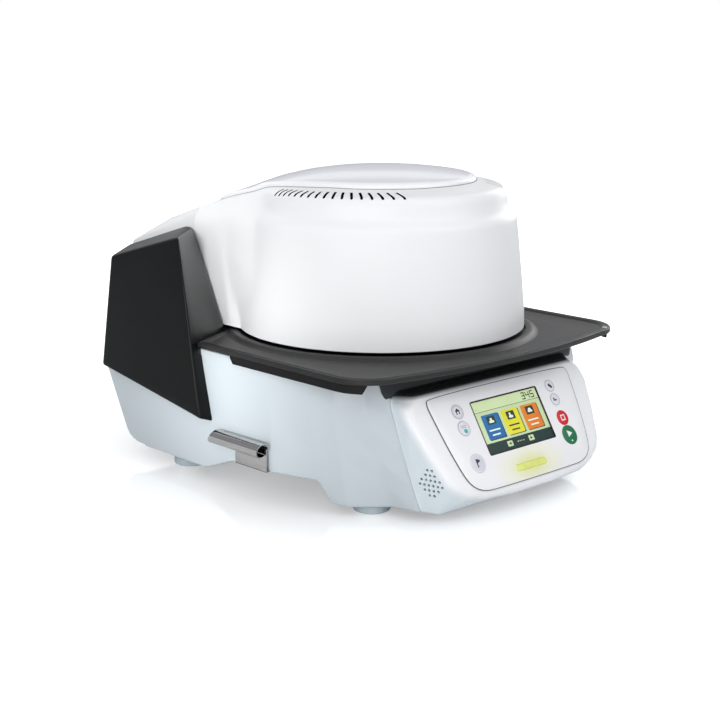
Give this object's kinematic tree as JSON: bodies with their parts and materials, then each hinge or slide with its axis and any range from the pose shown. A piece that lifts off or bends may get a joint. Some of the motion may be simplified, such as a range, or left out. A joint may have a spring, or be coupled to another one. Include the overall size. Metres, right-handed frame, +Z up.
{
  "type": "dental laboratory furnace",
  "caption": "Tabletop dental furnace: round lifting head on a rear hinge, wide cooling plate, low base, sloping touch panel with display and keys.",
  "frame": {"origin": "on the floor, under the middle of the whole furnace", "axes": "+X to the right seen from the front, -Y to the front with the control panel, +Z up"},
  "size_m": [0.387, 0.4762, 0.308],
  "materials": {
    "hood_white": "glossy powder coat",
    "cap_grey": "glossy",
    "housing_white": "fine powder coat",
    "panel_white": "glossy",
    "cheek_black": "satin, fine texture",
    "plate_charcoal": "matt",
    "overlay_film": "satin film",
    "screen_glass": "clear over a lit display",
    "light_lens": "translucent, lit",
    "key_pale": "satin film",
    "key_red": "satin film",
    "key_green": "satin film",
    "foot_rubber": "matt",
    "polished_steel": "polished",
    "sheet_steel": "brushed",
    "white_ceramic": "dry, porous",
    "seal_cord": "fibrous",
    "black_plastic": "satin",
    "board_green": "satin",
    "motor_grey": "satin"
  },
  "bodies": {
    "base": {"base_housing": "housing_white", "bottom_plate": "sheet_steel", "foot_front_left": "foot_rubber", "foot_front_right": "foot_rubber", "foot_rear_left": "foot_rubber", "foot_rear_right": "foot_rubber", "support_plate": "plate_charcoal", "plate_frame": "plate_charcoal", "cheek_cover_left": "cheek_black", "cheek_cover_right": "cheek_black", "hinge_bracket_left": "sheet_steel", "hinge_bracket_right": "sheet_steel", "lift_motor": "motor_grey", "table_pedestal": "white_ceramic", "firing_table": "white_ceramic", "sealing_flange": "sheet_steel", "panel_housing": "panel_white", "panel_overlay": "overlay_film", "display_screen": "screen_glass", "status_light": "light_lens", "control_board": "board_green", "speaker": "black_plastic", "tong_holder": "polished_steel", "rear_panel": "sheet_steel", "power_inlet": "black_plastic", "data_port": "sheet_steel", "fuse_holder": "black_plastic", "vacuum_connector": "sheet_steel", "switch_frame": "black_plastic", "fan_frame": "black_plastic", "transformer": "motor_grey", "power_board": "board_green"},
    "head": {"furnace_hood": "hood_white", "hood_cap": "cap_grey", "rear_cover": "cap_grey", "head_base_plate": "plate_charcoal", "heating_muffle": "white_ceramic", "muffle_insulation": "white_ceramic", "top_insulation": "white_ceramic", "thermocouple": "white_ceramic", "chamber_seal": "seal_cord", "head_arm_left": "sheet_steel", "head_arm_right": "sheet_steel", "hinge_pin": "sheet_steel"},
    "key_home": {"key_home": "key_pale"},
    "key_mode": {"key_mode": "key_pale"},
    "key_program": {"key_program": "key_pale"},
    "key_tool": {"key_tool": "key_pale"},
    "key_table": {"key_table": "key_pale"},
    "key_stop": {"key_stop": "key_red"},
    "key_start": {"key_start": "key_green"},
    "power_switch": {"power_rocker": "black_plastic"},
    "fan": {"fan_rotor": "black_plastic"}
  },
  "joints": [
    {"name": "head_hinge", "type": "hinge", "parent": "base", "child": "head", "pos_m": [0, 0.13411, 0.205], "axis": [-1, 0, 0], "range_deg": [0, 55]},
    {"name": "key_home_press", "type": "slide", "parent": "base", "child": "key_home", "axis": [0, 0.8497, -0.5273], "range_m": [0, 0.0005], "stiffness_N_per_m": 400, "springref_m": -0.0005},
    {"name": "key_mode_press", "type": "slide", "parent": "base", "child": "key_mode", "axis": [0, 0.8497, -0.5273], "range_m": [0, 0.0005], "stiffness_N_per_m": 400, "springref_m": -0.0005},
    {"name": "key_program_press", "type": "slide", "parent": "base", "child": "key_program", "axis": [0, 0.8497, -0.5273], "range_m": [0, 0.0005], "stiffness_N_per_m": 400, "springref_m": -0.0005},
    {"name": "key_tool_press", "type": "slide", "parent": "base", "child": "key_tool", "axis": [0, 0.8497, -0.5273], "range_m": [0, 0.0005], "stiffness_N_per_m": 400, "springref_m": -0.0005},
    {"name": "key_table_press", "type": "slide", "parent": "base", "child": "key_table", "axis": [0, 0.8497, -0.5273], "range_m": [0, 0.0005], "stiffness_N_per_m": 400, "springref_m": -0.0005},
    {"name": "key_stop_press", "type": "slide", "parent": "base", "child": "key_stop", "axis": [0, 0.8497, -0.5273], "range_m": [0, 0.0005], "stiffness_N_per_m": 400, "springref_m": -0.0005},
    {"name": "key_start_press", "type": "slide", "parent": "base", "child": "key_start", "axis": [0, 0.8497, -0.5273], "range_m": [0, 0.0005], "stiffness_N_per_m": 400, "springref_m": -0.0005},
    {"name": "power_switch_tilt", "type": "hinge", "parent": "base", "child": "power_switch", "pos_m": [-0.054, 0.17911, 0.062], "axis": [-1, 0, 0], "range_deg": [0, 12]},
    {"name": "fan_spin", "type": "hinge", "parent": "base", "child": "fan", "pos_m": [0.078, 0.17281, 0.062], "axis": [0, 1, 0], "continuous": true}
  ]
}
